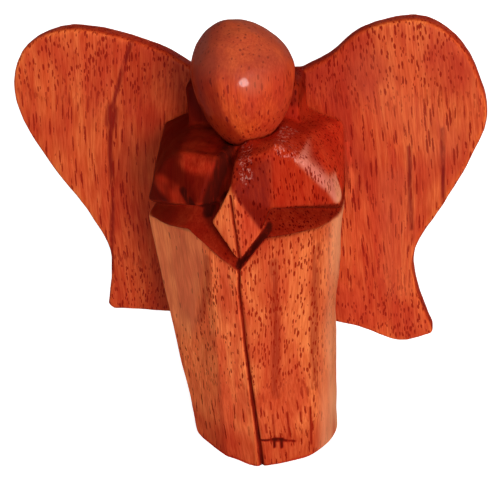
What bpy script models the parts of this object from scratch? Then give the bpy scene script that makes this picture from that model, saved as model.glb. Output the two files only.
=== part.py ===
"""A carved hardwood angel figurine, about 95 mm tall: a faceted robe block with sleeves and
praying hands, a plain egg-shaped head on a neck dowel, and two flat wings pegged to the back.

All dimensions below are millimetres. The origin is the middle of the robe's flat foot,
+Z is up, the figure faces -Y and +X is the viewer's right.
"""

import math

import bmesh
import bpy
from mathutils import Matrix, Vector

MM = 0.001
GAP = 0.3  # glue line left between two pieces that meet

# Robe: half-widths to the left, right, front and back of the origin at each height.
ROBE_STATIONS = (
    (0.0, 14.6, 15.0, 13.7, 12.6),
    (0.7, 15.2, 15.6, 14.3, 13.2),
    (10.0, 16.0, 15.7, 14.9, 14.0),
    (30.0, 18.4, 15.9, 16.2, 15.5),
    (44.0, 19.8, 17.2, 17.2, 16.5),
    (60.0, 21.4, 18.6, 18.4, 17.5),
)
ROBE_POINTS = 72  # round one ring of the robe
ROBE_LEVELS = (0.0, 0.7, 10.0, 20.0, 30.0, 38.0, 44.0)
ROBE_SQUARENESS = 2.0  # superellipse exponent, 2 is a plain ellipse

# The robe's upper rim: it dips in a V under the hands and droops a little at the sides.
RIM_FRONT_Z = 48.8
RIM_CENTRE_X = 0.4
RIM_V_SLOPES = (0.67, 1.16)  # left and right of the V
RIM_SIDE_ZS = (56.4, 55.3)  # left and right
RIM_SIDE_DROOPS = (0.0085, 0.0045)  # left and right, per mm of x squared
SLEEVE_NOTCH_DEPTH = 4.6  # how far the V channel under the sleeves goes in
SLEEVE_NOTCH_RISE = 3.7
TORSO_TOP_Z = 61.5
TORSO_INSET = 5.6

# Corners of each sleeve block, which is their convex hull.
RIGHT_SLEEVE = (
    (18.3, -5.6, 57.2),  # elbow
    (17.9, -3.4, 55.2),  # under the elbow
    (13.0, -12.8, 60.2),  # lower edge of the forearm, from elbow to cuff
    (7.0, -17.8, 62.2),
    (16.0, -9.2, 63.9),  # upper ridge of the forearm, from elbow to chin
    (13.4, -11.2, 68.2),
    (10.5, -13.4, 71.2),
    (7.9, -15.0, 73.2),
    (5.6, -11.0, 60.2),  # inner end, behind the cuff
    (-2.0, -7.6, 60.6),
    (-2.0, -7.6, 71.6),
    (17.3, 12.0, 67.5),  # shoulder
    (8.0, 12.0, 71.0),
    (17.3, 12.0, 53.6),
    (-2.0, 12.0, 54.0),
    (-2.0, 12.0, 71.2),
)
RIGHT_CUFF = (
    (7.06, -17.74, 62.22),  # along the inner edge of the forearm's front
    (7.9, -15.08, 72.7),
    (5.2, -17.8, 57.1),  # along the hands, from their right corner to their top
    (-0.1, -18.1, 65.9),
    (0.5, -15.6, 70.2),
    (5.4, -9.0, 59.4),  # inside the torso
    (6.6, -9.0, 61.5),
    (0.3, -8.0, 64.0),
    (0.3, -8.0, 70.5),
)
LEFT_SLEEVE = (
    (-19.4, -5.2, 57.0),  # elbow
    (-19.1, -3.0, 55.2),  # under the elbow
    (-13.2, -12.6, 60.0),  # lower edge of the forearm, from elbow to cuff
    (-6.2, -17.4, 62.0),
    (-16.6, -9.0, 63.4),  # upper ridge of the forearm, from elbow to chin
    (-13.8, -11.0, 67.8),
    (-10.2, -13.0, 70.8),
    (-2.8, -14.8, 70.7),
    (-3.4, -12.0, 60.3),  # inner end, which falls back behind the hands
    (-0.6, -10.4, 70.6),
    (3.0, -8.2, 60.0),
    (-19.2, 12.0, 66.8),  # shoulder
    (-10.0, 12.0, 70.8),
    (-19.2, 12.0, 53.2),
    (3.0, 12.0, 53.2),
    (3.0, 12.0, 70.6),
)

# Praying hands: a diamond between the cuffs, as (x, y, z) of its front corners.
HANDS_TOP = (-0.1, -18.3, 65.9)
HANDS_RIGHT = (5.2, -18.0, 57.1)
HANDS_BOTTOM = (0.6, -17.9, 51.0)
HANDS_LEFT = (-3.8, -17.5, 59.0)
HANDS_BACK_Y = -8.0
HANDS_BACK_SPREAD = 0.9  # the sides undercut a little

# The carved line between the hands, which runs on down the robe's front to its foot.
GROOVE_PATH = (
    (-0.1, -20.2, 66.8),
    (-0.1, -18.5, 64.6),
    (0.6, -18.0, 51.0),
    (0.0, -17.2, 44.5),
    (0.2, -16.3, 31.0),
    (0.7, -15.6, 19.0),
    (1.2, -14.8, 8.0),
    (1.5, -14.2, -1.0),
)
GROOVE_WIDTH = 1.1
GROOVE_DEPTH = 1.2

# Block behind the head that carries the wings' upper ends.
NECK_BLOCK_X = (-11.6, 10.2)
NECK_BLOCK_Y = (0.5, 12.0)
NECK_BLOCK_Z = (60.0, 79.0)
NECK_BLOCK_CHAMFER = 1.0

# Flat seat cut in the robe's back for the wings, standing on a ledge.
SEAT_Y = 10.4
LEDGE_Z = 20.0
SEAT_CUTTER_REACH = (40.0, 40.0, 100.0)  # beyond the robe on every open side

# Head: an egg standing on its small end, a little leaner than an ellipsoid.
HEAD_CENTRE = (0.9, -4.8, 83.4)  # the middle of its widest ring
HEAD_RADII = (9.5, 9.2)  # across and fore-and-aft
HEAD_CROWN_RISE = 9.2
HEAD_CHIN_DROP = 15.0
HEAD_CURVE = 1.8  # superellipse exponent, 2 is an ellipse
HEAD_CROWN_DRIFT = 1.8  # how far the crown leans towards -X
HEAD_SEGMENTS = 48
HEAD_RINGS = 26

# Wings: flat boards; their outlines are (x, z) knots, smoothed except where marked a corner.
WING_THICKNESS = 4.0
WING_EDGE_ROUNDING = 0.7
WING_EDGE_SEGMENTS = 2
WING_EDGE_ANGLE = 60.0  # edges sharper than this are rounded, in degrees
SEAM_X = -1.0  # where the two wings meet behind the robe
WING_CURVE_STEPS = 4  # points from one knot to the next
CORNER, SMOOTH = True, False
RIGHT_WING_OUTLINE = (
    (SEAM_X + GAP / 2, 77.3, CORNER),
    (8.9, 77.5, CORNER),
    (14.6, 80.6, SMOOTH),
    (20.6, 85.5, SMOOTH),
    (31.0, 87.9, SMOOTH),
    (38.6, 83.9, SMOOTH),
    (43.0, 76.2, SMOOTH),
    (44.8, 68.0, SMOOTH),
    (41.4, 58.1, SMOOTH),
    (36.1, 48.0, SMOOTH),
    (31.5, 39.0, SMOOTH),
    (31.7, 30.5, SMOOTH),
    (35.4, 20.2, CORNER),
    (35.4, 18.6, CORNER),
    (28.2, 16.6, SMOOTH),
    (19.4, 19.5, SMOOTH),
    (12.0, 20.9, CORNER),
    (SEAM_X + GAP / 2, 20.9, CORNER),
)
LEFT_WING_OUTLINE = (
    (SEAM_X - GAP / 2, 77.0, CORNER),
    (-12.4, 77.9, CORNER),
    (-18.0, 81.4, SMOOTH),
    (-26.5, 84.5, SMOOTH),
    (-37.0, 86.1, SMOOTH),
    (-46.0, 82.9, SMOOTH),
    (-50.4, 75.0, SMOOTH),
    (-49.9, 66.5, SMOOTH),
    (-45.0, 56.2, SMOOTH),
    (-39.2, 46.9, SMOOTH),
    (-34.8, 38.0, SMOOTH),
    (-34.9, 31.0, SMOOTH),
    (-36.5, 22.4, CORNER),
    (-35.4, 21.2, CORNER),
    (SEAM_X - GAP / 2, 21.2, CORNER),
)

# Dowels, all blind: one up into the head, two from the robe into each wing.
NECK_DOWEL_RADIUS = 2.5
NECK_DOWEL_XY = (0.8, -3.0)
NECK_DOWEL_Z = (60.5, 75.0)
WING_DOWEL_RADIUS = 1.5
WING_DOWEL_Y = (3.5, 13.3)
WING_DOWEL_OFFSET_X = 8.0  # either side of the seam
WING_DOWEL_HEIGHTS = (("lower", 34.0), ("upper", 62.0))
DOWEL_SIDES = 24

# Edges sharper than this stay crisp, in degrees.
BODY_CREASE = 30.0
ROUND_CREASE = 40.0
WING_CREASE = 35.0

# Stained and varnished hardwood: linear RGB and roughness for each piece.
BODY_FINISH = ((0.50, 0.10, 0.03), 0.36)
HEAD_FINISH = ((0.52, 0.10, 0.03), 0.30)
WING_FINISH = ((0.46, 0.10, 0.03), 0.40)
DOWEL_FINISH = ((0.60, 0.36, 0.18), 0.65)


def clear_scene():
    for obj in list(bpy.data.objects):
        bpy.data.objects.remove(obj, do_unlink=True)


def wood(name, finish):
    colour, roughness = finish
    material = bpy.data.materials.new(name)
    material.use_nodes = True
    shader = material.node_tree.nodes["Principled BSDF"]
    shader.inputs["Base Color"].default_value = (*colour, 1.0)
    shader.inputs["Roughness"].default_value = roughness
    shader.inputs["Metallic"].default_value = 0.0
    return material


def object_from(name, bm, material=None):
    """Links a bmesh built in millimetres as an object in metres, faces outwards."""
    bmesh.ops.scale(bm, vec=(MM, MM, MM), verts=bm.verts)
    bmesh.ops.recalc_face_normals(bm, faces=bm.faces)
    mesh = bpy.data.meshes.new(name)
    bm.to_mesh(mesh)
    bm.free()
    obj = bpy.data.objects.new(name, mesh)
    bpy.context.scene.collection.objects.link(obj)
    if material:
        mesh.materials.append(material)
    return obj


def helper(obj):
    """Keeps a shape that only feeds a Boolean out of the model."""
    obj.hide_render = True
    obj.display_type = "WIRE"
    return obj


def combine(target, other, operation):
    modifier = target.modifiers.new(other.name, "BOOLEAN")
    modifier.operation = operation
    modifier.solver = "EXACT"
    modifier.object = helper(other)


def smooth_shading(obj, crease):
    obj.data.shade_smooth()
    obj.data.set_sharp_from_angle(angle=math.radians(crease))


def loft(rings):
    """A closed bmesh through rings of equal length, with flat ends."""
    bm = bmesh.new()
    loops = [[bm.verts.new(point) for point in ring] for ring in rings]
    for lower, upper in zip(loops, loops[1:]):
        for i in range(len(lower)):
            j = (i + 1) % len(lower)
            bm.faces.new((lower[i], lower[j], upper[j], upper[i]))
    bm.faces.new(reversed(loops[0]))
    bm.faces.new(loops[-1])
    return bm


def hull(points):
    bm = bmesh.new()
    for point in points:
        bm.verts.new(point)
    made = bmesh.ops.convex_hull(bm, input=bm.verts)
    inside = {*made["geom_interior"], *made["geom_unused"]}
    inside = [part for part in inside if isinstance(part, bmesh.types.BMVert)]
    bmesh.ops.delete(bm, geom=inside, context="VERTS")
    return bm


def box(low, high):
    bm = bmesh.new()
    size = [b - a for a, b in zip(low, high)]
    middle = [(a + b) / 2 for a, b in zip(low, high)]
    bmesh.ops.create_cube(bm, size=1.0)
    bmesh.ops.scale(bm, vec=size, verts=bm.verts)
    bmesh.ops.translate(bm, vec=middle, verts=bm.verts)
    return bm


def cylinder(start, end, radius):
    """A round peg between two points."""
    start, end = Vector(start), Vector(end)
    axis = end - start
    turn = axis.to_track_quat("Z", "Y").to_matrix().to_4x4()
    bm = bmesh.new()
    bmesh.ops.create_cone(
        bm,
        cap_ends=True,
        segments=DOWEL_SIDES,
        radius1=radius,
        radius2=radius,
        depth=axis.length,
        matrix=Matrix.Translation((start + end) / 2) @ turn,
    )
    return bm


def station_at(z):
    """The robe's four half-widths at a height, read between the stations."""
    for (z0, *low), (z1, *high) in zip(ROBE_STATIONS, ROBE_STATIONS[1:]):
        if z <= z1:
            t = (z - z0) / (z1 - z0)
            return [a + (b - a) * t for a, b in zip(low, high)]
    return list(ROBE_STATIONS[-1][1:])


def robe_outline(angle, z, inset=0.0):
    """Where the robe's surface is in one direction at one height."""
    left, right, front, back = (side - inset for side in station_at(z))
    c, s = math.cos(angle), math.sin(angle)
    power = 2.0 / ROBE_SQUARENESS
    half_x = right if c >= 0 else left
    half_y = back if s >= 0 else front
    x = math.copysign(abs(c) ** power, c) * half_x
    y = math.copysign(abs(s) ** power, s) * half_y
    return x, y


def rim_height(x):
    side = int(x > RIM_CENTRE_X)
    under_hands = RIM_FRONT_Z + RIM_V_SLOPES[side] * abs(x - RIM_CENTRE_X)
    return min(under_hands, RIM_SIDE_ZS[side] - RIM_SIDE_DROOPS[side] * x * x)


def robe_column():
    """The robe up to its rim, the shelf inside the rim, and the torso's core above that."""
    angles = [2 * math.pi * i / ROBE_POINTS for i in range(ROBE_POINTS)]
    rings = [[(*robe_outline(a, z), z) for a in angles] for z in ROBE_LEVELS]
    rim, shelf, core = [], [], []
    for angle in angles:
        x, _ = robe_outline(angle, RIM_SIDE_ZS[0])
        z = rim_height(x)
        rim.append((*robe_outline(angle, z), z))
        inner = robe_outline(angle, z, inset=SLEEVE_NOTCH_DEPTH)
        shelf.append((*inner, z + SLEEVE_NOTCH_RISE))
        inner = robe_outline(angle, TORSO_TOP_Z, inset=TORSO_INSET)
        core.append((*inner, TORSO_TOP_Z))
    return loft([*rings, rim, shelf, core])


def hands():
    corners = [Vector(c) for c in (HANDS_TOP, HANDS_RIGHT, HANDS_BOTTOM, HANDS_LEFT)]
    middle = sum(corners, Vector()) / len(corners)
    back = []
    for corner in corners:
        spread = middle + (corner - middle) * HANDS_BACK_SPREAD
        back.append(Vector((spread.x, HANDS_BACK_Y, spread.z)))
    return hull([*corners, *back])


def neck_block():
    (x0, x1), (y0, y1), (z0, z1) = NECK_BLOCK_X, NECK_BLOCK_Y, NECK_BLOCK_Z
    c = NECK_BLOCK_CHAMFER
    shoulders = [(x, y, z1 - c) for x in (x0, x1) for y in (y0, y1)]
    top = [(x, y, z1) for x in (x0 + c, x1 - c) for y in (y0 + c, y1)]
    foot = [(x, y, z0) for x in (x0, x1) for y in (y0, y1)]
    return hull([*foot, *shoulders, *top])


def groove_cutter():
    """A long V, open to the front, whose sharp edge follows the path inside the wood."""
    rings = []
    for x, y, z in GROOVE_PATH:
        flare = GROOVE_WIDTH  # twice the depth out, the V is twice as wide
        mouth = y - GROOVE_DEPTH
        rings.append(((x - flare, mouth, z), (x + flare, mouth, z), (x, y + GROOVE_DEPTH, z)))
    return loft(rings)


def egg(grow=0.0):
    bm = bmesh.new()
    bmesh.ops.create_uvsphere(bm, u_segments=HEAD_SEGMENTS, v_segments=HEAD_RINGS, radius=1.0)
    for vert in bm.verts:
        x, y, height = vert.co
        ring = max(math.hypot(x, y), 1e-9)
        width = max(0.0, 1.0 - abs(height) ** HEAD_CURVE) ** (1.0 / HEAD_CURVE) / ring
        reach = HEAD_CROWN_RISE if height > 0.0 else HEAD_CHIN_DROP
        vert.co.x = x * width * (HEAD_RADII[0] + grow)
        vert.co.x -= HEAD_CROWN_DRIFT * max(0.0, height) ** 2
        vert.co.y = y * width * (HEAD_RADII[1] + grow)
        vert.co.z = height * (reach + grow)
    bmesh.ops.translate(bm, vec=HEAD_CENTRE, verts=bm.verts)
    return bm


def bezier(a, b, c, d, t):
    u = 1.0 - t
    return a * u**3 + b * 3 * u * u * t + c * 3 * u * t * t + d * t**3


def smooth_outline(knots):
    """Points of a closed outline: Catmull-Rom curves through the knots, stopping at corners."""
    spots = [Vector((x, z)) for x, z, _ in knots]
    corners = [corner for _, _, corner in knots]
    count = len(knots)
    tangents = []
    for i in range(count):
        tangents.append((spots[(i + 1) % count] - spots[i - 1]) / 6)
    outline = []
    for i in range(count):
        j = (i + 1) % count
        outline.append(spots[i])
        if corners[i] and corners[j]:
            continue
        leave = (spots[j] - spots[i]) / 3 if corners[i] else tangents[i]
        arrive = (spots[j] - spots[i]) / 3 if corners[j] else tangents[j]
        for step in range(1, WING_CURVE_STEPS):
            t = step / WING_CURVE_STEPS
            outline.append(
                bezier(spots[i], spots[i] + leave, spots[j] - arrive, spots[j], t)
            )
    return outline


def wing_board(knots):
    front = SEAT_Y + GAP
    outline = smooth_outline(knots)
    return loft([[(p.x, y, p.y) for p in outline] for y in (front, front + WING_THICKNESS)])


def wing_dowels(side):
    """(name, x, z) of the two dowels of one wing; side is +1 on the right."""
    word = "right" if side > 0 else "left"
    x = SEAM_X + side * WING_DOWEL_OFFSET_X
    return [(f"{word}_wing_{level}_dowel", x, z) for level, z in WING_DOWEL_HEIGHTS]


def wing_dowel(x, z, grow=0.0):
    start, end = WING_DOWEL_Y
    return cylinder((x, start - grow, z), (x, end + grow, z), WING_DOWEL_RADIUS + grow)


def neck_dowel(grow=0.0):
    x, y = NECK_DOWEL_XY
    low, high = NECK_DOWEL_Z
    return cylinder((x, y, low - grow), (x, y, high + grow), NECK_DOWEL_RADIUS + grow)


def build_body(material):
    body = object_from("robe_body", robe_column(), material)
    combine(body, object_from("right_sleeve", hull(RIGHT_SLEEVE)), "UNION")
    combine(body, object_from("right_cuff", hull(RIGHT_CUFF)), "UNION")
    combine(body, object_from("left_sleeve", hull(LEFT_SLEEVE)), "UNION")
    combine(body, object_from("neck_block", neck_block()), "UNION")
    combine(body, object_from("hands", hands()), "UNION")
    combine(body, object_from("groove_cutter", groove_cutter()), "DIFFERENCE")
    seat = box((-SEAT_CUTTER_REACH[0], SEAT_Y, LEDGE_Z), SEAT_CUTTER_REACH)
    combine(body, object_from("wing_seat_cutter", seat), "DIFFERENCE")
    combine(body, object_from("head_socket_cutter", egg(GAP)), "DIFFERENCE")
    combine(body, object_from("neck_hole_cutter", neck_dowel(GAP)), "DIFFERENCE")
    for side in (1, -1):
        for name, x, z in wing_dowels(side):
            cutter = object_from(f"{name}_hole_in_body", wing_dowel(x, z, GAP))
            combine(body, cutter, "DIFFERENCE")
    smooth_shading(body, BODY_CREASE)


def build_head(material):
    head = object_from("head", egg(), material)
    combine(head, object_from("head_hole_cutter", neck_dowel(GAP)), "DIFFERENCE")
    smooth_shading(head, ROUND_CREASE)


def build_wing(name, knots, side, material):
    wing = object_from(name, wing_board(knots), material)
    rounding = wing.modifiers.new("rounded_edges", "BEVEL")
    rounding.width = WING_EDGE_ROUNDING * MM
    rounding.segments = WING_EDGE_SEGMENTS
    rounding.limit_method = "ANGLE"
    rounding.angle_limit = math.radians(WING_EDGE_ANGLE)
    for dowel_name, x, z in wing_dowels(side):
        cutter = object_from(f"{dowel_name}_hole_in_wing", wing_dowel(x, z, GAP))
        combine(wing, cutter, "DIFFERENCE")
    smooth_shading(wing, WING_CREASE)


def build_dowels(material):
    smooth_shading(object_from("neck_dowel", neck_dowel(), material), ROUND_CREASE)
    for side in (1, -1):
        for name, x, z in wing_dowels(side):
            smooth_shading(object_from(name, wing_dowel(x, z), material), ROUND_CREASE)


def main():
    clear_scene()
    build_body(wood("robe_wood", BODY_FINISH))
    build_head(wood("head_wood", HEAD_FINISH))
    wing_wood = wood("wing_wood", WING_FINISH)
    build_wing("right_wing", RIGHT_WING_OUTLINE, 1, wing_wood)
    build_wing("left_wing", LEFT_WING_OUTLINE, -1, wing_wood)
    build_dowels(wood("dowel_wood", DOWEL_FINISH))


main()
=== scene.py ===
"""Looks for the carved hardwood angel: knife-cut, varnished red wood with open pores.

Every wooden piece is a copy of its CAD solid, remeshed finely, cut with a few flat knife
strokes, softened at its edges and given the same procedural wood. Sizes below are
millimetres in the CAD frame: +Z up, the figure faces -Y, +X is the viewer's right.
"""

import math

import bmesh
import bpy
import numpy as np
from mathutils import Matrix, Vector


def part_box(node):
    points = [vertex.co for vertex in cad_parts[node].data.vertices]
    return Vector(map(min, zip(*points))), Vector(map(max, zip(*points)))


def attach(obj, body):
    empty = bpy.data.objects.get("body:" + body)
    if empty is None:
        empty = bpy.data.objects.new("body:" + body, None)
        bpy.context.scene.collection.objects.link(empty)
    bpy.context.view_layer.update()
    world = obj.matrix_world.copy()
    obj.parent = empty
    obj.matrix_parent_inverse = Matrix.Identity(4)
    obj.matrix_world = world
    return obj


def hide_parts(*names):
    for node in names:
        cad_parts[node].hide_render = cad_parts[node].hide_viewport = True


MM = 0.001

# Camera: where the figure is seen from, and how much of it fills the frame.
CAMERA_AZIMUTH = 12.0  # degrees from straight in front, towards +X
CAMERA_ELEVATION = 28.0
CAMERA_ROLL = 3.8
CAMERA_DISTANCE = 225.0
CAMERA_AIM = (-0.84, 0.0, 45.83)
CAMERA_LENS = 81.0
SENSOR_WIDTH = 36.0

# Meshes.
ROBE_VOXEL = 0.28
HEAD_VOXEL = 0.30
WING_VOXEL = 0.36

# The robe's rim, as in the CAD: a V under the hands, drooping at the sides.
RIM_FRONT_Z = 48.8
RIM_CENTRE_X = 0.4
RIM_V_SLOPES = (0.67, 1.16)
RIM_SIDE_ZS = (56.4, 55.3)
RIM_SIDE_DROOPS = (0.0085, 0.0045)

# The praying hands' diamond, as (x, z) corners: top, right, bottom, left.
HANDS = ((-0.1, 65.9), (5.2, 57.1), (0.6, 51.0), (-3.8, 59.0))
HANDS_FRONT_Y = -14.0
HANDS_SPLIT_X = 0.5  # between the left face and the right one
HANDS_PLANE_Y = -18.0
HANDS_PLANE_LEAN = 0.02
HANDS_FLATTEN = 0.8  # share of the way that the left face is turned to that plane
FRONT_Y = 11.5  # nothing drawn on the fronts reaches behind this

# The carved line from the hands to the foot, as (x, y, z) on the surface, as in the CAD.
GROOVE_PATH = (
    (-0.1, -18.5, 64.6),
    (0.6, -18.0, 51.0),
    (0.0, -17.2, 44.5),
    (0.2, -16.3, 31.0),
    (0.7, -15.6, 19.0),
    (1.2, -14.8, 8.0),
    (1.5, -14.2, -1.0),
)
GROOVE_HALF_WIDTHS = ((8.0, 24.0, 50.0), (0.82, 0.60, 0.44))  # at each height
GROOVE_DEPTH = 1.1
# The carved line is painted dark, as shade in its groove.
GROOVE_SHADE = ((12.0, 34.0), (0.80, 0.50))  # how dark it is at each height
GROOVE_FRONT_Y = -10.0  # the line is cut only in front of this
GROOVE_FINE = (1.4, -12.0)  # a finer mesh this near the line, in front of this y

# Flat knife strokes on the robe, each a plane through three (x, y, z) points.
ROBE_STROKES = (
    ((-7.3, -14.4, 50.0), (-18.8, -6.0, 50.0), (-13.4, -11.2, 28.0)),  # left flank
    ((12.6, -11.2, 50.0), (17.9, -3.2, 50.0), (13.9, -7.0, 4.0)),  # right flank
    ((3.5, -14.2, 5.8), (12.0, -9.4, 6.6), (7.0, -12.0, 0.0)),  # right foot
    ((-4.0, -14.0, 6.0), (-13.6, -6.0, 7.0), (-9.0, -9.4, 0.0)),  # left foot
)
LEFT_FRONT_STROKE = ((0.0, -17.2, 44.5), (0.5, -15.8, 23.0), (-7.3, -14.3, 41.0))
SLEEVE_EDGE = ((0.0, 6.5, 13.0, 18.8), (62.4, 62.2, 60.2, 57.1))  # its height at each |x|

# Lines drawn on the pieces' fronts, as (x, z) points and a half-width.
# Painted shadow in the deepest recesses round the hands and the left arm.
PAINTED_SHADOW_LINES = (
    (((0.4, 49.6), (5.9, 56.7)), 0.95),  # under the hands' right edge
    (((-1.4, 70.9), (-2.0, 68.6), (-3.3, 65.5), (-4.4, 62.4), (-5.6, 58.4)), 1.5),  # left cuff
    (((-6.8, 60.0), (-9.4, 63.6)), 1.2),  # the left arm's crook
)
# Patches of the left arm that the light reaches: left out of its painted shadow, the second one also painted
# paler.
LEFT_ARM_LIT_PATCHES = (
    (((-8.4, 69.4), (-5.0, 69.0)), 2.0),
    (((-14.5, 62.9), (-10.3, 61.9)), 2.2),
    (((-9.0, 60.7), (-7.8, 60.6)), 0.8),
)
# A short cross cut near the foot with two drips below it.
NICK_LINES = (
    (((1.9, 7.3), (4.4, 7.2), (5.4, 6.5), (8.2, 5.2)), 0.30),
    (((4.1, 7.1), (5.7, 6.5)), 0.55),
    (((4.3, 7.2), (4.3, 5.0)), 0.26),
    (((5.6, 6.6), (5.7, 4.4)), 0.30),
)
NICK_DEPTH = 0.35
# Long open checks in the wood above the foot.
FOOT_CHECKS = (
    (((4.4, 13.6), (4.5, 7.6)), 0.24),
    (((7.1, 13.2), (7.3, 7.0)), 0.24),
    (((11.5, 13.0), (11.4, 3.4)), 0.26),
    (((3.0, 11.6), (3.1, 9.4)), 0.22),
    (((9.6, 12.4), (9.6, 10.0)), 0.22),
    (((-0.6, 10.6), (-0.6, 8.2)), 0.22),
)
# A painted highlight along the right forearm's ridge.
RIDGE_HIGHLIGHT_LINES = ((((12.0, 69.4), (13.7, 66.8), (15.4, 64.0), (16.8, 61.6), (17.9, 58.6)), 0.78),)
# Painted scratchy highlights, where light catches the right forearm's ridge and the cuff.
SCRATCHY_HIGHLIGHT_LINES = (
    (((8.0, 72.6), (9.6, 71.2), (11.2, 69.9), (12.4, 68.6)), 0.65),  # the right forearm's ridge
    (((2.4, 70.8), (2.8, 67.6)), 1.2),  # on the cuff
)
ROBE_VEINS = (
    (((6.4, 49.0), (6.1, 38.0), (5.3, 18.0)), 0.9),
    (((13.9, 50.0), (13.0, 36.0), (12.3, 18.0)), 0.8),
    (((-6.0, 50.0), (-6.3, 46.0), (-7.5, 40.0), (-10.2, 32.6)), 0.9),
)
LEFT_WING_VEINS = (
    (((-24.3, 83.3), (-26.8, 77.7), (-29.9, 69.3)), 0.5),
    (((-29.9, 69.3), (-30.6, 66.0)), 1.4),
    (((-30.6, 66.0), (-31.5, 59.6), (-32.0, 50.3), (-33.4, 40.7), (-34.5, 31.5)), 0.55),
)
# Paler places on the right wing, as (x, z) paths and half-widths.
RIGHT_WING_TANS = (
    (((23.0, 77.0), (26.5, 71.0), (35.0, 63.5)), 5.0),
    (((27.0, 54.0), (27.5, 30.0)), 3.4),
)
# A painted highlight line on the right wing, beside the right arm.
RIGHT_WING_HIGHLIGHT_LINE = ((((17.8, 62.6), (18.5, 58.0), (18.7, 50.4)), 0.5),)
RIGHT_WING_VEINS = (
    (((30.0, 62.0), (30.6, 44.0)), 0.45),
    (((36.4, 66.0), (36.9, 50.0)), 0.45),
)

# How dark the painted shadow is above the rim, as (left, right) where the two sides differ.
CHANNEL_SHADOW = (0.45, 0.58)
NECK_SHADOW = (0.82, 0.52)
LEFT_ARM_SHADOW = 0.81
CUFF_SHADE = 0.50
SHOULDER_SHADOW = 0.86
# Where each painted shadow fades in, from none to full.
CHANNEL_FADE = (0.4, -0.4)  # above the sleeves' lower edge
LEFT_ARM_FADE_X = (0.0, -3.0)
LEFT_ARM_FADE = (-0.5, 0.5)  # above the sleeves' lower edge
CUFF_FADE_X = (8.4, 6.2)
CUFF_FADE_Z = (71.5, 70.0)
CUFF_LEFT_X = -1.0
SHOULDER_FADE_X = (2.0, -3.0)
SHOULDER_FADE_Z = (70.0, 71.2)
NECK_FADE_Z = (73.6, 75.5)
# Uneven places, as (mean, swing, wavelength, seed).
# The lit patches on the left arm are this uneven.
ARM_MOTTLE = (0.60, 0.30, 2.6, 6)
# The painted sheen down the robe's right edge is this uneven.
EDGE_MOTTLE = (0.80, 0.35, 4.0, 8)
EDGE_STRETCH = (1.0, 1.0, 0.25)

# How hollow or ridged a place is: how far it lies from its smoothed self, from none to full.
WEAR_STEPS = 26
HOLLOW_BEND = (0.06, 0.42)
RIDGE_BEND = (0.05, 0.30)

# How each surface wanders from true, as waves of (length, height, seed).
ROBE_WAVES = ((7.0, 0.10, 1), (3.6, 0.018, 2))
HEAD_WAVES = ((6.0, 0.06, 11), (2.0, 0.02, 12))
WING_WAVES = ((12.0, 0.10, 0), (3.0, 0.03, 1))  # added to each wing's own seed
WING_WARP = (4.0, 14.0, 2)  # height, length and seed of the uneven limits of the long grain

# Flat knife strokes round the head: (azimuth from the front, elevation, share of the radius kept).
HEAD_STROKES = (
    (-62, 38, 0.95),
    (38, 52, 0.95),
    (75, 8, 0.97),
    (-25, 70, 0.96),
    (60, -30, 0.98),
    (-60, -25, 0.98),
    (150, 30, 0.94),
    (-150, 35, 0.94),
    (180, -10, 0.95),
    (110, -30, 0.96),
)
HEAD_STROKE_SHARE = 0.8  # how much of what stands outside a stroke is cut away
# A soft painted highlight on the forehead, beside the glint:
HEAD_SHINE_SPOT = (4.4, 83.6)  # (x, z) of a hazy place on the forehead
HEAD_SHINE_REACH = 3.2

# Colours of the wood, linear. A tint multiplies the colour below it.
PORE = (0.29, 0.012, 0.004)
# Darker red, for real stains and for painted shade.
STAIN_AND_SHADE_TINT = (0.62, 0.20, 0.20)
# Dark, for painted shade in concave places and painted shadow above the rim.
PAINTED_SHADE_TINT = (0.22, 0.07, 0.08)
# Paler, for varnish wear and painted highlight on convex edges.
RIDGE_TINT = (1.10, 1.35, 1.20)
PALE_TINT = (1.32, 1.38, 1.48)
SHADE_TINT = (0.52, 0.43, 0.50)
# Pale tan, for painted sheen and for the right wing's paler wood.
SHEEN_AND_TAN = (0.85, 0.33, 0.15)
VEIN_TINT = (0.42, 0.18, 0.26)
# Near-black, for real cracks and the nick and for painted shadow.
DARK_MARK_AND_SHADOW = (0.060, 0.004, 0.002)
# Pale pink, for painted scratchy highlights.
SCRATCHY_HIGHLIGHT = (0.85, 0.37, 0.29)
# Pale pink, for the painted highlight along the forearm's ridge.
RIDGE_HIGHLIGHT = (0.78, 0.27, 0.19)
FIBRE_TINTS = ((0.86, 0.68, 0.64), (1.12, 1.34, 1.48))
# Each piece's light, middle and dark tones.
ROBE_TONES = ((0.74, 0.155, 0.040), (0.65, 0.098, 0.026), (0.52, 0.047, 0.014))
HEAD_TONES = ((0.70, 0.083, 0.014), (0.62, 0.053, 0.010), (0.48, 0.030, 0.010))
WING_TONES = ((0.70, 0.117, 0.028), (0.63, 0.072, 0.017), (0.49, 0.033, 0.010))
DOWEL_TONES = ((0.62, 0.40, 0.22), (0.55, 0.33, 0.17), (0.42, 0.24, 0.12))

# How often each pattern of the wood repeats per millimetre, along x, y and z.
WANDER_SCALE = (0.06, 0.06, 0.022)
STREAK_SCALE = (0.55, 0.55, 0.035)
FINE_SCALE = (3.2, 3.2, 0.22)
PATCH_SCALE = (0.13, 0.13, 0.06)
RING_SCALE = (0.30, 0.12, 0.010)
SMOKE_SCALE = (0.9, 0.9, 0.16)
CROWD_SCALE = (0.20, 0.20, 0.06)
HIGHLIGHT_BREAKUP_SCALE = (2.0, 2.0, 1.3)
RAGGED_SCALE = (3.0, 3.0, 1.3)
WANDER_REACH = (5.0, 5.0, 0.0)  # how far the fibres drift
SEED_STEP = (31.0, 17.0, 5.0)  # how far apart two pieces' wood is taken from the pattern
RING_TURNS = 9.0
PATCH_SHARE = 0.75
RING_SHARE = 0.45
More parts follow.
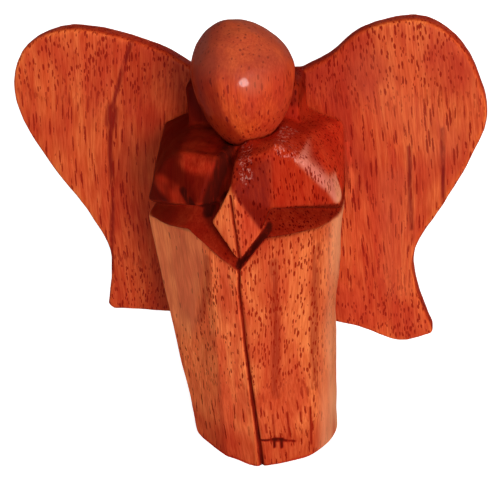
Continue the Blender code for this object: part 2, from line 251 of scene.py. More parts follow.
# Open vessels, as (spacing, length, reach, seed).
PORE_DOTS = ((0.54, 1.7, 0.42, 3.1), (0.74, 3.2, 0.30, 5.3))
PORE_DASHES = ((0.62, 6.0, 0.39, 7.7), (0.95, 15.0, 0.22, 11.9))
PORE_COVER = 0.94
# The varnish.
ROUGHNESS = (0.38, 0.56)
PORE_ROUGHNESS = 0.25
DARK_MARK_AND_SHADOW_ROUGHNESS = 0.5
BUMP_STRENGTH = 0.3
BUMP_DISTANCE = 0.00010  # metres
COAT_ROUGHNESS = 0.14
COAT_IOR = 1.5

SOFTBOX_SIDE = (0.45, -0.75, 0.48)  # where the studio's walls are brightest
STUDIO_RADIUS = 3.0  # metres
WALL_SIDES = 48
FLOOR_DROP = 0.0002  # metres below the figure's foot
FLOOR_GLOW = 0.80
WORLD_DIM = 0.08
WORLD_BRIGHT = 0.20
WHITE = (1.0, 1.0, 1.0, 1.0)
PAPER_TONES = ((0.93, 0.93, 0.93), (0.96, 0.96, 0.96))
PAPER_GRAIN = (900.0, 900.0, 900.0)
# Name, azimuth, elevation, strength, spread in degrees, and the kind of light it gives.
SUNS = (
    ("key", 32.0, 16.0, 2.1, 22.0, "diffuse"),
    ("side", 65.0, 25.0, 0.7, 30.0, "diffuse"),
    ("front", 0.0, 10.0, 0.60, 30.0, "diffuse"),
    ("rear_left", -135.0, 6.0, 0.8, 30.0, "diffuse"),
    ("rear", 175.0, 6.0, 0.9, 30.0, "diffuse"),
    ("fill", -70.0, 15.0, 0.25, 30.0, "diffuse"),
    ("glint", 10.0, -6.0, 1.9, 22.0, "glossy"),
)


# ---------------------------------------------------------------- mesh tools


def points_of(mesh):
    """The mesh's points, in millimetres."""
    flat = np.empty(len(mesh.vertices) * 3, np.float32)
    mesh.vertices.foreach_get("co", flat)
    return flat.reshape(-1, 3).astype(np.float64) / MM


def store_points(mesh, points):
    mesh.vertices.foreach_set("co", (points * MM).astype(np.float32).ravel())
    mesh.update()


def normals_of(mesh):
    flat = np.empty(len(mesh.vertices) * 3, np.float32)
    mesh.vertex_normals.foreach_get("vector", flat)
    return flat.reshape(-1, 3).astype(np.float64)


def edges_of(mesh):
    flat = np.empty(len(mesh.edges) * 2, np.int32)
    mesh.edges.foreach_get("vertices", flat)
    return flat.reshape(-1, 2)


def store_field(mesh, name, values):
    field = mesh.attributes.get(name) or mesh.attributes.new(name, "FLOAT", "POINT")
    field.data.foreach_set("value", np.asarray(values, np.float32))


def read_field(mesh, name):
    values = np.empty(len(mesh.vertices), np.float32)
    mesh.attributes[name].data.foreach_get("value", values)
    return values


def relaxed(values, edges, steps):
    """Each value moved towards its neighbours' mean, steps times."""
    a, b = edges[:, 0], edges[:, 1]
    count = len(values)
    degree = np.bincount(a, minlength=count) + np.bincount(b, minlength=count)
    values = values.reshape(count, -1).copy()
    for _ in range(steps):
        for axis in range(values.shape[1]):
            column = values[:, axis]
            total = np.bincount(a, column[b], count) + np.bincount(b, column[a], count)
            values[:, axis] = 0.4 * column + 0.6 * total / degree
    return values if values.shape[1] > 1 else values[:, 0]


def smoothstep(low, high, values):
    t = np.clip((values - low) / (high - low), 0.0, 1.0)
    return t * t * (3.0 - 2.0 * t)


def direction(azimuth, elevation):
    """The unit vector at this many degrees round from the front, towards +X, and up."""
    a, e = math.radians(azimuth), math.radians(elevation)
    return np.array((math.sin(a) * math.cos(e), -math.cos(a) * math.cos(e), math.sin(e)))


def ripple(points, wavelength, seed, waves=14):
    """A smooth random field, about -1 to 1, that repeats nowhere."""
    rng = np.random.default_rng(seed)
    directions = rng.normal(size=(waves, 3))
    directions /= np.linalg.norm(directions, axis=1, keepdims=True)
    lengths = wavelength * rng.uniform(0.7, 1.6, waves)
    phases = rng.uniform(0.0, 2.0 * math.pi, waves)
    swing = points @ (directions / lengths[:, None]).T * 2.0 * math.pi + phases
    return np.sin(swing).sum(axis=1) / math.sqrt(waves)


def mottled(points, mean, swing, length, seed):
    """An uneven amount between 0 and 1."""
    return np.clip(mean + swing * ripple(points, length, seed), 0.0, 1.0)


def knife(points, a, b, c, where):
    """Flattens whatever stands outside the plane through a, b and c, away from the piece's middle."""
    a, b, c = (np.array(p, float) for p in (a, b, c))
    normal = np.cross(b - a, c - a)
    normal /= np.linalg.norm(normal)
    if normal @ (a - points.mean(axis=0)) < 0:
        normal = -normal
    over = np.maximum((points - a) @ normal, 0.0) * where
    points -= over[:, None] * normal


def remeshed_copy(node, name, voxel):
    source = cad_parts[node]
    piece = bpy.data.objects.new(name, source.data.copy())
    bpy.context.scene.collection.objects.link(piece)
    remesh = piece.modifiers.new("remesh", "REMESH")
    remesh.mode = "VOXEL"
    remesh.voxel_size = voxel * MM
    graph = bpy.context.evaluated_depsgraph_get()
    mesh = bpy.data.meshes.new_from_object(piece.evaluated_get(graph))
    piece.modifiers.clear()
    piece.data = mesh
    mesh.name = name
    mesh.shade_smooth()
    return piece


def refined(mesh, chosen, cuts):
    """Cuts the edges between chosen points into cuts + 1, for a fine detail there."""
    bm = bmesh.new()
    bm.from_mesh(mesh)
    bm.verts.ensure_lookup_table()
    edges = [e for e in bm.edges if chosen[e.verts[0].index] and chosen[e.verts[1].index]]
    bmesh.ops.subdivide_edges(bm, edges=edges, cuts=cuts, use_grid_fill=True)
    bm.to_mesh(mesh)
    bm.free()


def inside_box(points, node):
    """Keeps a piece within its CAD solid's box."""
    low, high = (np.array(corner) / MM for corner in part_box(node))
    return np.clip(points, low, high)


def store_wear(piece):
    """Where the surface is concave or convex: painted shade in the one, paler with varnish wear and painted
    highlight on the other.
    """
    mesh = piece.data
    points, edges, normals = points_of(mesh), edges_of(mesh), normals_of(mesh)
    bend = np.einsum("ij,ij->i", relaxed(points, edges, WEAR_STEPS) - points, normals)
    bend = relaxed(bend, edges, 3)
    store_field(mesh, "painted_shade", smoothstep(*HOLLOW_BEND, bend))
    store_field(mesh, "ridge", smoothstep(*RIDGE_BEND, -bend))


# ---------------------------------------------------------------- the pieces


def rim_height(x):
    """The height of the robe's rim at each x."""
    slope, side, droop = (
        np.where(x > RIM_CENTRE_X, right, left)
        for left, right in (RIM_V_SLOPES, RIM_SIDE_ZS, RIM_SIDE_DROOPS)
    )
    under_hands = RIM_FRONT_Z + slope * np.abs(x - RIM_CENTRE_X)
    return np.minimum(under_hands, side - droop * x * x)


def near_lines(points, lines):
    """1 on the lines, 0 beyond their half-widths, seen from the front."""
    closeness = np.zeros(len(points))
    flat = points[:, [0, 2]]
    for path, half_width in lines:
        for a, b in zip(path, path[1:]):
            a, along = np.array(a), np.array(b) - np.array(a)
            t = np.clip((flat - a) @ along / (along @ along), 0.0, 1.0)
            away = np.linalg.norm(flat - a - t[:, None] * along, axis=1)
            closeness = np.maximum(closeness, smoothstep(half_width * 1.4, half_width * 0.4, away))
    return closeness * (points[:, 1] < FRONT_Y)


def inside_diamond(points):
    """1 inside the hands' front face, 0 outside, with a soft edge."""
    inside = np.full(len(points), np.inf)
    for (x0, z0), (x1, z1) in zip(HANDS, HANDS[1:] + HANDS[:1]):
        length = math.hypot(x1 - x0, z1 - z0)
        side = ((x1 - x0) * (points[:, 2] - z0) - (z1 - z0) * (points[:, 0] - x0)) / length
        inside = np.minimum(inside, -side)
    return smoothstep(-0.5, 0.3, inside) * (points[:, 1] < HANDS_FRONT_Y)


def groove_at(points):
    """How far each point is from the carved line sideways, and the surface's y beside the line."""
    xs, ys, zs = (np.array(axis) for axis in zip(*GROOVE_PATH[::-1]))
    aside = np.abs(points[:, 0] - np.interp(points[:, 2], zs, xs))
    aside[points[:, 2] > zs[-1]] = np.inf
    return aside, np.interp(points[:, 2], zs, ys)


def cut_groove(points):
    """Cuts the V of the carved line into the front."""
    aside, surface = groove_at(points)
    half_width = np.interp(points[:, 2], *GROOVE_HALF_WIDTHS)
    depth = GROOVE_DEPTH * np.maximum(0.0, 1.0 - aside / half_width)
    front = (points[:, 1] < GROOVE_FRONT_Y) & (depth > 0.0)
    points[front, 1] = np.maximum(points[front, 1], (surface + depth)[front])


def painted_shadows_above_rim(points, stain_and_shade_mask):
    """How dark the painted shadow is above the rim: under the sleeves, on the left arm, the cuff, the left
    shoulder and the neck.
    """
    x, _, z = points.T
    above_edge = z - np.interp(np.abs(x), *SLEEVE_EDGE)
    side = (x > 0.0).astype(int)
    channel = np.array(CHANNEL_SHADOW)[side] * smoothstep(*CHANNEL_FADE, above_edge)
    left = LEFT_ARM_SHADOW * smoothstep(*LEFT_ARM_FADE_X, x) * smoothstep(*LEFT_ARM_FADE, above_edge)
    # The lit patches are left out of the painted shadow.
    left *= 1.0 - near_lines(points, LEFT_ARM_LIT_PATCHES) * mottled(points, *ARM_MOTTLE)
    cuff = CUFF_SHADE * smoothstep(*CUFF_FADE_X, x) * (x > CUFF_LEFT_X) * smoothstep(*CUFF_FADE_Z, z)
    shoulder = SHOULDER_SHADOW * smoothstep(*SHOULDER_FADE_Z, z) * smoothstep(*SHOULDER_FADE_X, x)
    neck = np.array(NECK_SHADOW)[side] * smoothstep(*NECK_FADE_Z, z)
    return stain_and_shade_mask * np.maximum.reduce([channel, left, cuff, shoulder, neck])


def flatten_hands(points):
    """Turns the hands' left face towards the front, so that both are nearly one plane."""
    inside = inside_diamond(points) * (points[:, 0] < HANDS_SPLIT_X)
    plane = HANDS_PLANE_Y - HANDS_PLANE_LEAN * (points[:, 0] - HANDS[2][0])
    points[:, 1] += inside * HANDS_FLATTEN * (plane - points[:, 1])


def carve_robe(mesh):
    """The knife strokes, soft edges, nick and groove. Gives back how deep each point is in the nick."""
    points = points_of(mesh)
    aside, front = GROOVE_FINE
    near = (groove_at(points)[0] < aside) & (points[:, 1] < front)
    refined(mesh, near, 1)
    points, edges = points_of(mesh), edges_of(mesh)
    below_rim = smoothstep(0.6, -0.6, points[:, 2] - rim_height(points[:, 0]))
    in_front = (points[:, 1] < 0.0).astype(float)
    left = (points[:, 0] < RIM_CENTRE_X).astype(float)
    for stroke in ROBE_STROKES:
        knife(points, *stroke, below_rim * in_front)
    knife(points, *LEFT_FRONT_STROKE, below_rim * in_front * left)
    nick = near_lines(points, NICK_LINES)
    points[:, 1] += NICK_DEPTH * nick
    above = smoothstep(-0.5, 1.0, points[:, 2] - rim_height(points[:, 0]))[:, None]
    points = relaxed(points, edges, 3)
    points += (relaxed(points, edges, 7) - points) * above
    flatten_hands(points)
    store_points(mesh, points)
    undulate(mesh, ROBE_WAVES)
    points = points_of(mesh)
    cut_groove(points)
    store_points(mesh, relaxed(points, edges, 1))
    store_points(mesh, inside_box(points_of(mesh), "robe_body"))
    return nick


def paint_robe(mesh, nick):
    """Where the robe has stains, cracks, painted shade and shadow, paler places, painted sheen and painted
    highlights, as one field for each.
    """
    points, edges = points_of(mesh), edges_of(mesh)
    x, y, z = points.T
    over_rim = z - rim_height(x)
    diamond = inside_diamond(points)
    stain_and_shade_mask = smoothstep(-0.5, 0.3, over_rim) * (1.0 - diamond)
    # Painted highlight along the right forearm's ridge, with the stains left off under it.
    ridge_highlight = near_lines(points, RIDGE_HIGHLIGHT_LINES) * smoothstep(56.5, 58.5, z)
    ridge_highlight *= (y < -3.0) * (over_rim > 0.0)
    stain_and_shade_mask *= 1.0 - 0.9 * ridge_highlight
    aside = groove_at(points)[0]
    half_width = np.interp(z, *GROOVE_HALF_WIDTHS)
    line = smoothstep(0.85, 0.15, aside / half_width) * (y < GROOVE_FRONT_Y)
    line *= np.interp(z, *GROOVE_SHADE)
    # Painted shadow under the hands, by the left cuff, in the left arm's crook and along the groove, with
    # the real checks and the nick.
    under = near_lines(points, PAINTED_SHADOW_LINES) * stain_and_shade_mask
    checks = 0.50 * near_lines(points, FOOT_CHECKS)
    dark_marks_and_shadow = np.maximum.reduce([under, line, checks, 0.95 * nick])
    left_front = smoothstep(1.0, -1.0, x) * smoothstep(2.0, -2.0, y + 2.0)
    left_front *= (1.0 - stain_and_shade_mask) * (1.0 - diamond)
    shoulder = 0.7 * stain_and_shade_mask * smoothstep(12.0, 15.0, x) * smoothstep(56.0, 60.0, z) * (y > -8.0)
    # Painted light on the left elbow's lit patch.
    elbow = 0.8 * near_lines(points, LEFT_ARM_LIT_PATCHES[1:2])
    hands = diamond * np.where(x > HANDS_SPLIT_X, 0.85, 0.10)
    pale = np.maximum.reduce([left_front, shoulder, hands, elbow])
    # Painted sheen: a pale band down the right edge and on the left flank.
    right_edge = smoothstep(12.6, 16.4, x - 0.06 * (z - 20.0))
    right_edge *= mottled(points * EDGE_STRETCH, *EDGE_MOTTLE)
    foot = np.maximum(0.65 * smoothstep(11.0, 5.0, z), smoothstep(1.2, 0.5, z))
    # Painted shade just below the rim on the right.
    lip = 0.42 * smoothstep(-5.0, -1.5, over_rim) * (x > 1.0)
    flank = smoothstep(-5.5, -8.0, x + 0.22 * np.maximum(0.0, 50.0 - z)) * smoothstep(24.0, 32.0, z)
    open_share = 0.95 - 0.4 * (x < RIM_CENTRE_X) - 0.5 * flank - (0.2 + 0.3 * (x < 0.0)) * stain_and_shade_mask
    fields = {
        "stain_and_shade": relaxed(np.maximum.reduce([stain_and_shade_mask, foot, lip]), edges, 2),
        "sheen_and_tan": (0.86 * right_edge + 0.22 * flank) * (1.0 - stain_and_shade_mask),
        "dark_marks_and_shadow": relaxed(dark_marks_and_shadow, edges, 1),
        "pale": relaxed(pale, edges, 3),
        "vein": 0.6 * near_lines(points, ROBE_VEINS) * (1.0 - stain_and_shade_mask),
        "scratchy_highlight": near_lines(points, SCRATCHY_HIGHLIGHT_LINES) * (over_rim > 0.0) * (y < -4.0),
        "ridge_highlight": relaxed(ridge_highlight, edges, 1),
        "long": smoothstep(24.0, 14.0, z),
        "open": np.clip(open_share, 0.0, 1.0),
        "painted_shade": np.maximum(painted_shadows_above_rim(points, stain_and_shade_mask), read_field(mesh, "painted_shade")),
    }
    for name, values in fields.items():
        store_field(mesh, name, values)


def make_robe():
    piece = remeshed_copy("robe_body", "carved_robe", ROBE_VOXEL)
    nick = carve_robe(piece.data)
    store_wear(piece)
    paint_robe(piece.data, nick)
    return piece


def undulate(mesh, waves):
    """Moves the surface in and out a little, by waves of (length, height, seed)."""
    points, normals = points_of(mesh), normals_of(mesh)
    for length, height, seed in waves:
        points += normals * (height * ripple(points, length, seed))[:, None]
    store_points(mesh, points)


def make_head():
    piece = remeshed_copy("head", "carved_head", HEAD_VOXEL)
    mesh = piece.data
    points, edges = points_of(mesh), edges_of(mesh)
    low, high = (np.array(corner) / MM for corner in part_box("head"))
    centre, half = (low + high) / 2, (high - low) / 2
    unit = (points - centre) / half
    for azimuth, elevation, kept in HEAD_STROKES:
        normal = direction(azimuth, elevation)
        reach = np.percentile(unit @ normal, 99.9)
        over = np.maximum(unit @ normal - reach * kept, 0.0)
        unit -= over[:, None] * normal * HEAD_STROKE_SHARE
    points = relaxed(unit * half + centre, edges, 14)
    store_points(mesh, points)
    undulate(mesh, HEAD_WAVES)
    store_points(mesh, inside_box(points_of(mesh), "head"))
    store_wear(piece)
    points = points_of(mesh)
    x, y, z = points.T
    top = smoothstep(82.0, 88.0, z)
    left = smoothstep(-1.1, -2.6, x - 0.5 * np.maximum(0.0, 79.0 - z))
    spot_x, spot_z = HEAD_SHINE_SPOT
    spot = smoothstep(HEAD_SHINE_REACH, 0.0, np.hypot(x - spot_x, z - spot_z)) * (y < 0.0)
    # Painted shade: the head's left side is painted darker, and its top too through the shade field.
    store_field(mesh, "stain_and_shade", 0.60 * left)
    store_field(mesh, "shade", np.maximum(0.66 * left, 0.55 * top))
    # Painted sheen on the head's top and a soft painted highlight on the forehead.
    store_field(mesh, "sheen_and_tan", 0.08 * top + 0.14 * spot)
    store_field(mesh, "long", smoothstep(84.0, 78.0, z))
    store_field(mesh, "open", 0.3 + 0.4 * smoothstep(86.0, 76.0, z))
    return piece


def make_wing(node, seed, veins, tans=(), highlight_line=(), dark_beside=False):
    """A wing board. With dark_beside, it is painted darker on the robe's side of its veins: part grain tone,
    part painted shadow of the head and robe.
    """
    piece = remeshed_copy(node, "carved_" + node, WING_VOXEL)
    mesh = piece.data
    points, edges = points_of(mesh), edges_of(mesh)
    points = relaxed(points, edges, 4)
    store_points(mesh, points)
    undulate(mesh, [(length, height, seed + step) for length, height, step in WING_WAVES])
    store_points(mesh, inside_box(points_of(mesh), node))
    store_wear(piece)
    points = points_of(mesh)
    x, _, z = points.T
    height, length, step = WING_WARP
    warped_z = z + height * ripple(points, length, seed + step)
    # Painted shadow of the head and body on the wing near them.
    stain_and_shade_mask = 0.60 * smoothstep(30.0, 14.0, np.abs(x)) * smoothstep(40.0, 64.0, z)
    store_field(mesh, "vein", near_lines(points, veins))
    store_field(mesh, "sheen_and_tan", 0.05 * near_lines(points, tans))
    # A painted highlight line beside the right arm.
    store_field(mesh, "pale", near_lines(points, highlight_line))
    if dark_beside:
        xs, zs = zip(*[spot for path, _ in veins for spot in path][::-1])
        # Part grain tone, part painted shadow of the head and robe.
        beside = smoothstep(-0.5, 1.0, x - np.interp(z, zs, xs))
        stain_and_shade_mask = np.maximum(stain_and_shade_mask, 0.45 * beside)
    # Painted shade on the edge faces, which turn away from the front.
    rim = smoothstep(0.75, 0.45, np.abs(normals_of(mesh)[:, 1]))
    store_field(mesh, "stain_and_shade", np.maximum(stain_and_shade_mask, 0.8 * rim))
    store_field(mesh, "long", smoothstep(76.0, 66.0, warped_z) * smoothstep(28.0, 36.0, warped_z))
    store_field(mesh, "open", np.full(len(points), 0.95))
    return piece


# ---------------------------------------------------------------- materials


def put(tree, kind, inputs=None, **settings):
    """A new shader node with its settings and inputs, where an input is a value or a socket."""
    node = tree.nodes.new(kind)
    for key, value in settings.items():
        setattr(node, key, value)
    for key, value in (inputs or {}).items():
        socket = node.inputs[key]
        if isinstance(value, bpy.types.NodeSocket):
            tree.links.new(value, socket)
        else:
            socket.default_value = value
    return node


def scaled(tree, vector, scale, offset=(0.0, 0.0, 0.0)):
    inputs = {"Vector": vector, "Scale": scale, "Location": offset}
    return put(tree, "ShaderNodeMapping", inputs).outputs["Vector"]


def noise_of(tree, vector, detail=3.0, roughness=0.55):
    inputs = {"Vector": vector, "Scale": 1.0, "Detail": detail, "Roughness": roughness}
    return put(tree, "ShaderNodeTexNoise", inputs).outputs["Fac"]


def ramp(tree, value, low, high, to_low=0.0, to_high=1.0):
    inputs = {"Value": value, "From Min": low, "From Max": high, "To Min": to_low, "To Max": to_high}
    settings = {"interpolation_type": "SMOOTHSTEP", "clamp": True}
    return put(tree, "ShaderNodeMapRange", inputs, **settings).outputs["Result"]


def maths(tree, operation, a, b, clamp=False):
    node = put(tree, "ShaderNodeMath", {0: a, 1: b}, operation=operation, use_clamp=clamp)
    return node.outputs[0]


def vectors(tree, operation, a, b):
    return put(tree, "ShaderNodeVectorMath", {0: a, 1: b}, operation=operation).outputs[0]


def mixed(tree, factor, a, b, blend="MIX"):
    node = put(tree, "ShaderNodeMix", data_type="RGBA", blend_type=blend)
    for index, value in ((0, factor), (6, a), (7, b)):
        if isinstance(value, bpy.types.NodeSocket):
            tree.links.new(value, node.inputs[index])
        elif index == 0:
            node.inputs[index].default_value = value
        else:
            node.inputs[index].default_value = (*value, 1.0)
    return node.outputs[2]


def field(tree, name):
    return put(tree, "ShaderNodeAttribute", attribute_name=name).outputs["Fac"]


def pores(tree, fibres, share, spacing, length, reach, seed):
    """Open vessels: dark dashes along the grain, more of them where share is high."""
    scale = (1 / spacing, 1 / spacing, 1 / length)
    cells = scaled(tree, fibres, scale, (seed, seed * 1.7, seed * 0.3))
    voronoi = put(tree, "ShaderNodeTexVoronoi", {"Vector": cells, "Scale": 1.0})
    chance = put(tree, "ShaderNodeSeparateColor", {"Color": voronoi.outputs["Color"]})
    size = ramp(tree, chance.outputs["Green"], 0.0, 1.0, 0.55 * reach, reach)
    ragged = noise_of(tree, scaled(tree, fibres, RAGGED_SCALE), 1.0)
    uneven = maths(tree, "MULTIPLY", maths(tree, "SUBTRACT", ragged, 0.5), 0.35)
    size = maths(tree, "ADD", size, uneven)
    size = maths(tree, "MULTIPLY", size, maths(tree, "LESS_THAN", chance.outputs["Red"], share))
    return ramp(tree, maths(tree, "SUBTRACT", size, voronoi.outputs["Distance"]), 0.0, 0.07)


def both_pores(tree, fibres, share, sizes):
    """Two sizes of open vessel together."""
    return maths(tree, "MAXIMUM", *[pores(tree, fibres, share, *size) for size in sizes])


def tinted(tree, colour, amount, tint):
    """The colour, multiplied by the tint by this amount."""
    return mixed(tree, amount, colour, mixed(tree, 1.0, colour, tint, "MULTIPLY"))


def wood(name, seed, light, middle, dark, lean=0.0, coat=0.0, shine=0.15):
    """Stained and varnished hardwood whose grain runs up Z."""
    material = bpy.data.materials.new(name)
    material.use_nodes = True
    tree = material.node_tree
    shader = tree.nodes["Principled BSDF"]
    place = put(tree, "ShaderNodeTexCoord").outputs["Object"]
    into_wood = {
        "Vector": place,
        "Scale": (1 / MM, 1 / MM, 1 / MM),
        "Rotation": (0.0, math.radians(lean), 0.0),
        "Location": tuple(seed * step for step in SEED_STEP),
    }
    turned = put(tree, "ShaderNodeMapping", into_wood).outputs["Vector"]
    slow = {"Vector": scaled(tree, turned, WANDER_SCALE), "Scale": 1.0, "Detail": 1.0}
    wander = put(tree, "ShaderNodeTexNoise", slow).outputs["Color"]
    drift = vectors(tree, "SUBTRACT", wander, (0.5, 0.5, 0.5))
    fibres = vectors(tree, "ADD", turned, vectors(tree, "MULTIPLY", drift, WANDER_REACH))

    streaks = noise_of(tree, scaled(tree, fibres, STREAK_SCALE), 3.0, 0.6)
    fine = noise_of(tree, scaled(tree, fibres, FINE_SCALE), 3.0, 0.6)
    patches = noise_of(tree, scaled(tree, fibres, PATCH_SCALE), 2.0)
    rings = noise_of(tree, scaled(tree, fibres, RING_SCALE, (4.0, 2.0, 0.0)), 1.0)
    rings = maths(tree, "PINGPONG", maths(tree, "MULTIPLY", rings, RING_TURNS), 1.0)

    colour = mixed(tree, ramp(tree, streaks, 0.32, 0.68), middle, light)
    colour = mixed(tree, maths(tree, "MULTIPLY", ramp(tree, patches, 0.42, 0.66), PATCH_SHARE), colour, dark)
    colour = mixed(tree, maths(tree, "MULTIPLY", ramp(tree, rings, 0.75, 1.0), RING_SHARE), colour, dark)
    fibre_tint = mixed(tree, ramp(tree, fine, 0.30, 0.70), *FIBRE_TINTS)
    colour = mixed(tree, 1.0, colour, fibre_tint, "MULTIPLY")
    colour = tinted(tree, colour, field(tree, "pale"), PALE_TINT)
    smoky = noise_of(tree, scaled(tree, turned, SMOKE_SCALE, (3.0, 8.0, 2.0)), 3.0, 0.6)
    vein = maths(tree, "MULTIPLY", field(tree, "vein"), ramp(tree, smoky, 0.28, 0.52))
    colour = tinted(tree, colour, vein, VEIN_TINT)
    # Paler on convex edges: varnish wear and painted highlight.
    colour = tinted(tree, colour, field(tree, "ridge"), RIDGE_TINT)

    # Painted highlight along the right forearm's ridge.
    ridge_gleam = maths(tree, "MULTIPLY", field(tree, "ridge_highlight"), ramp(tree, fine, 0.25, 0.60, 0.60, 0.90))
    colour = mixed(tree, ridge_gleam, colour, RIDGE_HIGHLIGHT)
    crowd = noise_of(tree, scaled(tree, fibres, CROWD_SCALE, (9.0, 1.0, 3.0)), 2.0)
    share = maths(tree, "MULTIPLY", field(tree, "open"), ramp(tree, crowd, 0.35, 0.60, 0.72, 1.12))
    dots = both_pores(tree, fibres, share, PORE_DOTS)
    dashes = both_pores(tree, fibres, share, PORE_DASHES)
    long_grain = field(tree, "long")
    dashes = maths(tree, "MULTIPLY", dashes, long_grain)
    dots = maths(tree, "MULTIPLY", dots, maths(tree, "SUBTRACT", 1.0, long_grain))
    vessels = maths(tree, "MAXIMUM", dashes, dots)
    colour = mixed(tree, maths(tree, "MULTIPLY", vessels, PORE_COVER), colour, PORE)

    # Darker red: real stains above the robe's rim and at its foot, and painted shade below the rim, on the
    # head and on the wings.
    colour = tinted(tree, colour, field(tree, "stain_and_shade"), STAIN_AND_SHADE_TINT)
    # Painted shade in concave places and painted shadow above the robe's rim.
    colour = tinted(tree, colour, field(tree, "painted_shade"), PAINTED_SHADE_TINT)
    colour = tinted(tree, colour, field(tree, "shade"), SHADE_TINT)
    # Pale tan: painted sheen and a soft painted highlight on the robe and the head, paler wood on the right
    # wing.
    colour = mixed(tree, field(tree, "sheen_and_tan"), colour, SHEEN_AND_TAN)
    unevenness = ramp(tree, smoky, 0.25, 0.55, 0.55, 1.0)
    # Near-black: real cracks and the nick, and painted shadow in the groove and the deepest recesses.
    marked_and_shaded = maths(tree, "MULTIPLY", field(tree, "dark_marks_and_shadow"), unevenness)
    colour = mixed(tree, ramp(tree, marked_and_shaded, 0.0, 0.5), colour, PORE, "DARKEN")
    colour = mixed(tree, ramp(tree, marked_and_shaded, 0.3, 1.0), colour, DARK_MARK_AND_SHADOW)
    # Painted scratchy highlights on the forearm's ridge and the cuff.
    highlight_breakup = noise_of(tree, scaled(tree, turned, HIGHLIGHT_BREAKUP_SCALE, (2.0, 5.0, 1.0)), 4.0, 0.7)
    highlight_breakup = maths(tree, "MULTIPLY", ramp(tree, highlight_breakup, 0.53, 0.62, 0.0, 0.42), unevenness)
    colour = mixed(tree, maths(tree, "MULTIPLY", highlight_breakup, field(tree, "scratchy_highlight")), colour, SCRATCHY_HIGHLIGHT)

    tree.links.new(colour, shader.inputs["Base Color"])
    rough = ramp(tree, fine, 0.2, 0.8, *ROUGHNESS)
    for amount, added in ((vessels, PORE_ROUGHNESS), (field(tree, "dark_marks_and_shadow"), DARK_MARK_AND_SHADOW_ROUGHNESS)):
        rough = maths(tree, "ADD", rough, maths(tree, "MULTIPLY", amount, added), True)
    tree.links.new(rough, shader.inputs["Roughness"])
    height = maths(tree, "SUBTRACT", maths(tree, "MULTIPLY", fine, 0.22), vessels)
    relief = {"Height": height, "Strength": BUMP_STRENGTH, "Distance": BUMP_DISTANCE}
    bump = put(tree, "ShaderNodeBump", relief)
    tree.links.new(bump.outputs["Normal"], shader.inputs["Normal"])
    shader.inputs["Specular IOR Level"].default_value = shine
    shader.inputs["Coat Weight"].default_value = coat
    shader.inputs["Coat Roughness"].default_value = COAT_ROUGHNESS
    shader.inputs["Coat IOR"].default_value = COAT_IOR
    return material


def dress(piece, node, material):
    piece.data.materials.clear()
    piece.data.materials.append(material)
    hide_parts(node)
    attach(piece, "root")


# ---------------------------------------------------------------- camera, light, floor


def make_camera():
    camera = bpy.data.objects.new("camera", bpy.data.cameras.new("camera"))
    bpy.context.scene.collection.objects.link(camera)
    back = Vector(direction(CAMERA_AZIMUTH, CAMERA_ELEVATION))
    facing = back.to_track_quat("Z", "Y").to_matrix()
    roll = Matrix.Rotation(math.radians(-CAMERA_ROLL), 3, "Z")
    place = Matrix.Translation((Vector(CAMERA_AIM) + back * CAMERA_DISTANCE) * MM)
    camera.matrix_world = place @ (facing @ roll).to_4x4()
    camera.data.sensor_width = SENSOR_WIDTH
    camera.data.lens = CAMERA_LENS
    camera.data.clip_start = 0.01
    bpy.context.scene.camera = camera


def make_sun(name, azimuth, elevation, strength, spread, kind):
    light = bpy.data.lights.new(name, "SUN")
    light.energy = strength
    light.angle = math.radians(spread)
    sun = bpy.data.objects.new(name, light)
    sun.visible_diffuse = kind == "diffuse"
    sun.visible_glossy = kind == "glossy"
    bpy.context.scene.collection.objects.link(sun)
    sun.rotation_mode = "QUATERNION"
    towards = Vector(direction(azimuth, elevation))
    sun.rotation_quaternion = towards.to_track_quat("Z", "Y")


def make_world():
    world = bpy.data.worlds.new("studio")
    bpy.context.scene.world = world
    world.use_nodes = True
    tree = world.node_tree
    towards = put(tree, "ShaderNodeTexCoord").outputs["Generated"]
    side = put(tree, "ShaderNodeVectorMath", {0: towards, 1: SOFTBOX_SIDE}, operation="DOT_PRODUCT")
    glow = ramp(tree, side.outputs["Value"], -0.5, 1.0, WORLD_DIM, WORLD_BRIGHT)
    tree.nodes["Background"].inputs["Color"].default_value = WHITE
    tree.links.new(glow, tree.nodes["Background"].inputs["Strength"])


def make_paper(name, mesh, glow):
    """A pale sheet that shows the figure's shadow but throws no light or reflection on it."""
    sheet = bpy.data.objects.new(name, mesh)
    sheet.visible_diffuse = False
    sheet.visible_glossy = False
    sheet.visible_shadow = False
    bpy.context.scene.collection.objects.link(sheet)
    material = bpy.data.materials.new(name)
    material.use_nodes = True
    tree = material.node_tree
    shader = tree.nodes["Principled BSDF"]
    place = put(tree, "ShaderNodeTexCoord").outputs["Object"]
    grain = noise_of(tree, scaled(tree, place, PAPER_GRAIN))
    tree.links.new(mixed(tree, grain, *PAPER_TONES), shader.inputs["Base Color"])
    shader.inputs["Roughness"].default_value = 0.9
    shader.inputs["Emission Color"].default_value = WHITE
    shader.inputs["Emission Strength"].default_value = glow
    mesh.materials.append(material)


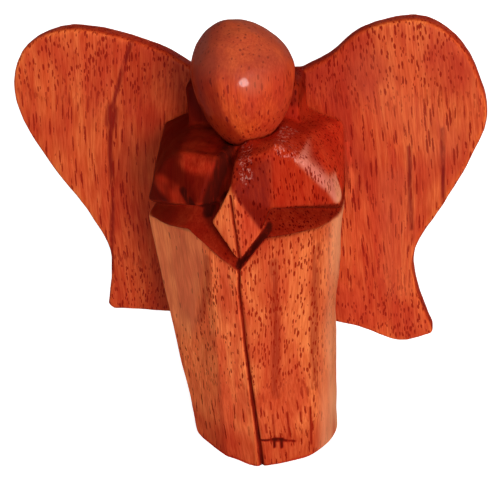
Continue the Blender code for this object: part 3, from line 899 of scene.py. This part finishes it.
def make_studio():
    floor = bpy.data.meshes.new("floor")
    reach = STUDIO_RADIUS
    corners = [(-reach, -reach), (reach, -reach), (reach, reach), (-reach, reach)]
    floor.from_pydata([(x, y, -FLOOR_DROP) for x, y in corners], [], [(0, 1, 2, 3)])
    make_paper("floor", floor, FLOOR_GLOW)
    wall = bpy.data.meshes.new("wall")
    ring = [2.0 * math.pi * i / WALL_SIDES for i in range(WALL_SIDES)]
    spots = [(reach * math.cos(a), reach * math.sin(a), z) for z in (-reach, reach) for a in ring]
    sides = [(i, (i + 1) % WALL_SIDES) for i in range(WALL_SIDES)]
    wall.from_pydata(spots, [], [(i, j, j + WALL_SIDES, i + WALL_SIDES) for i, j in sides])
    make_paper("wall", wall, 1.0)


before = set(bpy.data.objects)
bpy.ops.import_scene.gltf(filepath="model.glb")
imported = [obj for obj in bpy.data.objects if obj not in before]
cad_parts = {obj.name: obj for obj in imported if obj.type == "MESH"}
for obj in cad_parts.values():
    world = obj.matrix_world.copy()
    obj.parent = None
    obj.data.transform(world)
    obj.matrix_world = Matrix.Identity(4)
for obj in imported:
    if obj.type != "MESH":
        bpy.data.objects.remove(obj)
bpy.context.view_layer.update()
make_camera()
make_world()
for sun in SUNS:
    make_sun(*sun)
make_studio()
bpy.context.scene.view_settings.view_transform = "Standard"

dress(make_robe(), "robe_body", wood("robe_wood", 1, *ROBE_TONES, shine=0.02))
dress(make_head(), "head", wood("head_wood", 2, *HEAD_TONES, coat=0.4, shine=0.08))
left_wood = wood("left_wing_wood", 3, *WING_TONES, lean=-4.0, shine=0.05)
left_wing = make_wing("left_wing", 21, LEFT_WING_VEINS, dark_beside=True)
dress(left_wing, "left_wing", left_wood)
right_wood = wood("right_wing_wood", 4, *WING_TONES, lean=3.0, shine=0.05)
right_wing = make_wing("right_wing", 31, RIGHT_WING_VEINS, RIGHT_WING_TANS, RIGHT_WING_HIGHLIGHT_LINE)
dress(right_wing, "right_wing", right_wood)

dowel_wood = wood("dowel_wood", 5, *DOWEL_TONES)
for name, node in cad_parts.items():
    if name.endswith("dowel"):
        node.data.materials.clear()
        node.data.materials.append(dowel_wood)
